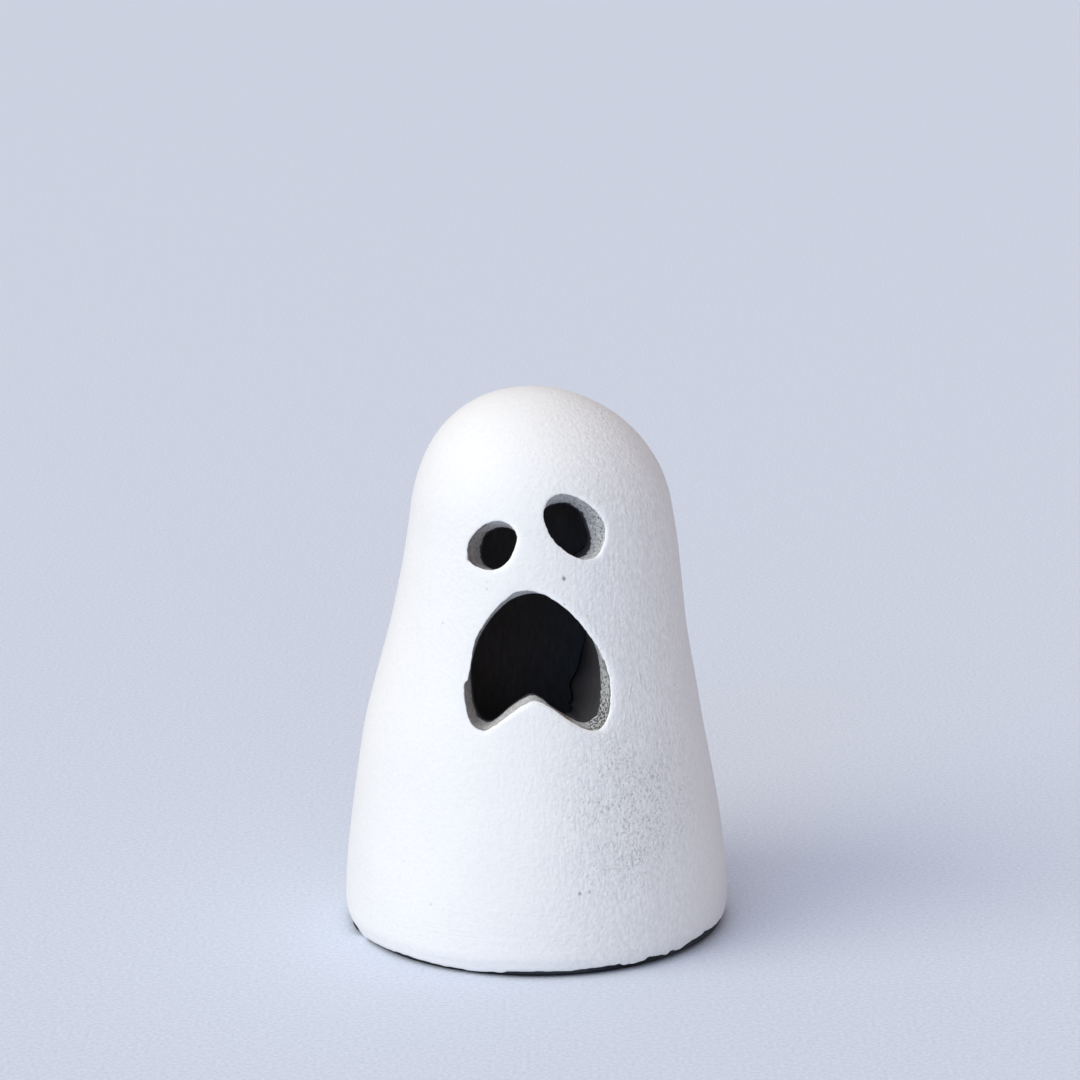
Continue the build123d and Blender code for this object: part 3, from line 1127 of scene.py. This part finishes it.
# Colours of the white paint
WHITE_STOPS = ((0.3, (0.865, 0.868, 0.873, 1)), (0.7, (0.895, 0.895, 0.895, 1)))
FLECK_STOPS = ((0.34, (0.802, 0.798, 0.797, 1)), (0.66, (0.922, 0.917, 0.912, 1)))
THIN_AND_SHADED_WHITE = (0.7, 0.7, 0.72, 1)
LIP_HIGHLIGHT_WHITE = (0.97, 0.97, 0.97, 1)
RIDGE_HIGHLIGHT_WHITE = (0.98, 0.98, 0.98, 1)
SANDY_PIT_GREY_AND_SHADE = (0.42, 0.42, 0.43, 1)
PIT_SHADE_GREY = (0.1, 0.1, 0.105, 1)
SPECK_SHADE_GREY = (0.08, 0.08, 0.085, 1)


def skin_spot(x, z):
    """Point of the outer skin that shows at (x, z) from the front."""
    points, _ = OUTER.seen_at(np.array([[x, z]]))
    return points[0]


def brush_ridges(paint):
    """Single ridges that stand out among the strokes."""
    ridges = []
    for x, z, length, lean in BRUSH_MARKS:
        size = (MARK_WIDTH, MARK_DEPTH, length / 2)
        ridges.append((paint.patch(skin_spot(x, z), size, math.radians(lean)), 1.0))
    return paint.weighted(ridges)


def speck_shade(paint):
    """Painted shade in the middles of the pits that stand out."""
    specks = []
    for x, z, radius, depth in SPECKS:
        specks.append((paint.patch(skin_spot(x, z), radius), SPECK_STRENGTH * depth))
    return paint.weighted(specks)


def upright_strokes(paint, side):
    """Fine strokes that run up the bell, stronger on the brushed side and weak on the crown."""
    fine = paint.noise((1.6, 1.6, 0.06), 2.0, 0.5)
    strokes = paint.product(fine, paint.range(side, SIDE_SHARES, (0.45, 1.2)))
    above = paint.along("Z", STROKE_BAND, (0.0, 1.0))
    crown = paint.along("Z", CROWN_BAND, (1.0, 1 - CROWN_FADE))
    return paint.product(strokes, paint.product(above, crown))


def level_strokes(paint):
    """Fine strokes that run round the bell low down."""
    fine = paint.noise((0.08, 0.08, 2.0), 4.0, 0.55)
    return paint.product(fine, paint.along("Z", STROKE_BAND[::-1], (0.0, 1.0)))


def sandy_share(paint):
    """How sandy the coat is: most in one patch, and broken up there."""
    broken = paint.product(paint.patch(*SANDY_PATCH), paint.noise(0.17, 2.0, 0.5))
    return paint.range(broken, (0.06, 0.36), (0.0, 1.0))


def white_paint():
    """Matt white paint with fine brush strokes, grain and a sandy patch; painted shade in its pits and
    grain hollows, painted highlights on brush ridges and on the lips of the holes' right sides.
    """
    paint = Paint("white_brushed_paint")
    side = paint.patch((BRUSHED_SIDE, 0.0, 0.0), BRUSHED_HALF)
    grain = paint.noise(1.4, 2.0, 0.5)
    pitting = paint.noise(1.8, 2.0, 0.5)
    sand = sandy_share(paint)
    ridges = brush_ridges(paint)
    grains = paint.product(grain, paint.range(side, SIDE_SHARES, (0.6, 1.1)))
    pits = paint.product(paint.range(pitting, (0.52, 0.34), (0.0, 1.0)), sand)
    relief = paint.weighted([(upright_strokes(paint, side), 0.3), (level_strokes(paint), 0.2),
                             (grains, 0.5), (pits, -0.3), (ridges, 0.35)])
    paint.bump(relief, 1.0, 0.4)
    colour = paint.ramp(paint.noise(0.055, 3.0, 0.5), *WHITE_STOPS)
    # thinner paint, and painted shade, in the hollows of the grain
    colour = paint.mix(paint.range(grain, (0.36, 0.52), (0.1, 0.0)), colour, THIN_AND_SHADED_WHITE)
    flecks = paint.ramp(paint.noise((1.3, 1.3, 0.8), 3.0, 0.6), *FLECK_STOPS)
    colour = paint.mix(paint.range(side, SIDE_SHARES, (0.2, 1.0)), colour, flecks)
    # painted highlight on the lips of the holes' right sides, which face the light
    colour = paint.mix(paint.mark("thick"), colour, LIP_HIGHLIGHT_WHITE)
    # grey where thin paint lets the casting show in the sandy pits, and painted shade in them
    pit_grey_and_shade = paint.product(paint.range(pitting, (0.42, 0.31), (0.0, 0.66)), sand)
    colour = paint.mix(pit_grey_and_shade, colour, SANDY_PIT_GREY_AND_SHADE)
    # painted shade in the deeper pits
    colour = paint.mix(paint.mark("dirt"), colour, PIT_SHADE_GREY)
    # painted shade in the pits that stand out
    colour = paint.mix(speck_shade(paint), colour, SPECK_SHADE_GREY)
    # painted highlight along the brush ridges
    colour = paint.mix(paint.product(ridges, 0.6), colour, RIDGE_HIGHLIGHT_WHITE)
    paint.give("Base Color", colour)
    paint.give("Roughness", paint.range(grain, (0.3, 0.7), (0.64, 0.52)))
    return paint.material


# Colours of the casting, and its patches as (centre, half-sizes)
SAND_STOPS = ((0.32, (0.38, 0.375, 0.37, 1)), (0.67, (0.84, 0.85, 0.87, 1)))
BROWN_SHADE = (0.6, 0.57, 0.545, 1)
PORE_BLACK = (0.05, 0.05, 0.05, 1)
STAIN_BROWN = (0.2, 0.13, 0.08, 1)
LIP_SHADE_GREY = (0.12, 0.11, 0.1, 1)
FOOT_BLACK_AND_SHADE = (0.034, 0.037, 0.044, 1)
FOOT_SHADE_BLACK = (0.004, 0.006, 0.012, 1)
GRITTY_LOBE = ((11.5, -26.0, 47.5), (6.0, 10.0, 6.0))
STAIN_PATCH = ((5.8, -27.0, 48.4), (4.0, 6.0, 2.2))
# painted shade at the foot's front right, on the side away from the light
FOOT_SHADE_PATCH = ((17.5, -31.0, 2.0), (9.0, 20.0, 20.0))
BROWN_SIDE = (-11, -7)    # the walls turn brown between these places along X
GRITTY_SIDE = (8, 12.5)   # and more open between these
# heights below which the foot is black: black paint with painted shade under the coat's edge
DARK_FOOT_BAND = (3.4, 4.0)


def raw_casting():
    """Grey sandy casting with dark pores; the foot is black from paint that runs over it and from painted
    shade under the coat's edge, darkest at the front right, with painted shade in a line below the lips.
    """
    paint = Paint("raw_grey_casting")
    sand = paint.noise(1.9, 5.0, 0.7)
    brown = paint.along("X", BROWN_SIDE, (1.0, 0.0))
    colour = paint.mix(brown, paint.ramp(sand, *SAND_STOPS), BROWN_SHADE, "MULTIPLY")
    gritty = paint.along("X", GRITTY_SIDE, (0.35, 0.44))
    limit = paint.weighted([(paint.patch(*GRITTY_LOBE), 0.13), (gritty, 1.0)])
    pores = paint.math("SUBTRACT", limit, paint.noise(2.0, 3.0, 0.6))
    colour = paint.mix(paint.range(pores, (0.0, 0.04), (0.0, 0.9)), colour, PORE_BLACK)
    colour = paint.mix(paint.patch(*STAIN_PATCH), colour, STAIN_BROWN)
    # painted shade in the line below the lips
    colour = paint.mix(paint.mark("dirt"), colour, LIP_SHADE_GREY)
    # black paint on the foot with painted shade under the coat's edge, darker still at the front right
    black = paint.mix(paint.patch(*FOOT_SHADE_PATCH), FOOT_BLACK_AND_SHADE, FOOT_SHADE_BLACK)
    colour = paint.mix(paint.along("Z", DARK_FOOT_BAND, (1.0, 0.0)), colour, black)
    paint.give("Base Color", colour)
    paint.give("Roughness", 0.85)
    paint.give("Specular IOR Level", 0.15)
    paint.bump(sand, 1.0, 0.12)
    return paint.material


BLACK_STOPS = ((0.3, (0.094, 0.086, 0.092, 1)), (0.75, (0.138, 0.128, 0.136, 1)))
# painted shade of the black paint near the holes
ROLL_SHADE_BLACK = (0.017, 0.017, 0.02, 1)
FELT_STOPS = ((0.3, (0.006, 0.008, 0.013, 1)), (0.75, (0.017, 0.021, 0.032, 1)))


def black_paint():
    """Matt black paint with faint brush marks, and painted shade where it is marked: darker and with less
    reflection.
    """
    paint = Paint("matt_black_paint")
    brush = paint.noise((1.4, 1.4, 0.09), 4.0, 0.6)
    dirt = paint.mark("dirt")
    # painted shade: darker and with less reflection where marked, most toward the roll's tip
    paint.give("Base Color", paint.mix(dirt, paint.ramp(brush, *BLACK_STOPS), ROLL_SHADE_BLACK))
    paint.give("Roughness", paint.range(brush, (0.3, 0.7), (0.7, 0.58)))
    paint.give("Specular IOR Level", paint.range(dirt, (0.5, 1.0), (0.25, 0.0)))
    paint.bump(brush, 0.5, 0.12)
    return paint.material


def black_felt():
    """Black felt with short crossing fibres."""
    paint = Paint("black_felt")
    fibre = paint.noise(5.2, 6.0, 0.75)
    paint.give("Base Color", paint.ramp(fibre, *FELT_STOPS))
    paint.give("Roughness", 0.95)
    paint.give("Sheen Weight", 0.08)
    paint.bump(fibre, 0.8, 0.3)
    return paint.material


def dress(piece, material, node):
    """Gives a piece its finish and lets it stand for its solid."""
    piece.data.materials.append(material)
    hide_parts(node)
    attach(piece, "root")


dress(make_coat(), white_paint(), "white_coat")
dress(make_casting(), raw_casting(), "cast_shell")
dress(make_lining(), black_paint(), "black_lining")
dress(make_pad(), black_felt(), "base_pad")

FLOOR_SIDE = 3000.0
FLOOR_FRONT = -2000.0
FLOOR_BACK = 4000.0
FLOOR_STOPS = ((0.3, (0.6, 0.659, 0.772, 1)), (0.7, (0.748, 0.807, 0.92, 1)))


def make_stage():
    """Flat pale blue-grey floor that runs far behind the figure."""
    corners = [(-FLOOR_SIDE, FLOOR_FRONT), (FLOOR_SIDE, FLOOR_FRONT), (FLOOR_SIDE, FLOOR_BACK),
               (-FLOOR_SIDE, FLOOR_BACK)]
    data = bpy.data.meshes.new("stage_floor")
    data.from_pydata([(x * MM, y * MM, 0) for x, y in corners], [], [(0, 1, 2, 3)])
    floor = bpy.data.objects.new("stage_floor", data)
    bpy.context.scene.collection.objects.link(floor)
    paint = Paint("stage_paper")
    paint.give("Base Color", paint.ramp(paint.noise(1.3, 4.0, 0.6), *FLOOR_STOPS))
    paint.give("Roughness", 0.9)
    floor.data.materials.append(paint.material)


# Lights, as degrees round from the front to the viewer's left, degrees up and width as the figure sees
# it, and a colour that also gives the strength
LIGHTS = {
    "sky": ((40, 55, 70), (1.01, 1.1, 1.16)),
    "window": ((65, 35, 45), (1.06, 0.99, 0.78)),
    "front": ((20, 18, 30), (0.15, 0.29, 0.46)),
    "front_fill": ((-8, 15, 25), (0.17, 0.17, 0.18)),
    "back": ((150, 45, 60), (0.22, 0.263, 0.325)),
}
ROOM_FILL = (0.36, 0.311, 0.317, 1)


def add_sun(name, aim, colour):
    """Even light from one direction, as soft as its width and as strong as its colour."""
    turn, rise, width = (math.radians(angle) for angle in aim)
    data = bpy.data.lights.new(name, "SUN")
    data.energy = max(colour)
    data.angle = width
    data.color = [part / max(colour) for part in colour]
    light = bpy.data.objects.new(name, data)
    toward = Vector((-math.sin(turn) * math.cos(rise), -math.cos(turn) * math.cos(rise), math.sin(rise)))
    light.rotation_euler = toward.to_track_quat("Z", "Y").to_euler()
    bpy.context.scene.collection.objects.link(light)


def make_light():
    """All lights, and an even fill from the room."""
    for name, (aim, colour) in LIGHTS.items():
        add_sun(name, aim, colour)
    world = bpy.data.worlds.new("room_fill")
    world.use_nodes = True
    background = world.node_tree.nodes["Background"]
    background.inputs["Color"].default_value = ROOM_FILL
    background.inputs["Strength"].default_value = 1.0
    bpy.context.scene.world = world


# Camera of the photograph: a long lens, a little above the figure
CAMERA_RISE = math.radians(15.5)
CAMERA_DISTANCE = 740.0
CAMERA_AIM_HEIGHT = 52.0
CAMERA_SIDE = 0.87
CAMERA_LIFT = 0.03074     # angle by which it looks above the aim, in radians
CAMERA_LENS = 128.0
CAMERA_SENSOR = 36.0
CAMERA_CLIP = 10.0


def make_camera():
    """Camera that sees the figure as the photograph does."""
    data = bpy.data.cameras.new("camera")
    data.sensor_width = CAMERA_SENSOR
    data.lens = CAMERA_LENS
    data.clip_start = CAMERA_CLIP * MM
    camera = bpy.data.objects.new("camera", data)
    camera.location = Vector((CAMERA_SIDE, -CAMERA_DISTANCE * math.cos(CAMERA_RISE),
                              CAMERA_AIM_HEIGHT + CAMERA_DISTANCE * math.sin(CAMERA_RISE))) * MM
    camera.rotation_euler = (math.pi / 2 - CAMERA_RISE + CAMERA_LIFT, 0.0, 0.0)
    bpy.context.scene.collection.objects.link(camera)
    bpy.context.scene.camera = camera


make_stage()
make_light()
make_camera()
bpy.context.scene.view_settings.view_transform = "Standard"
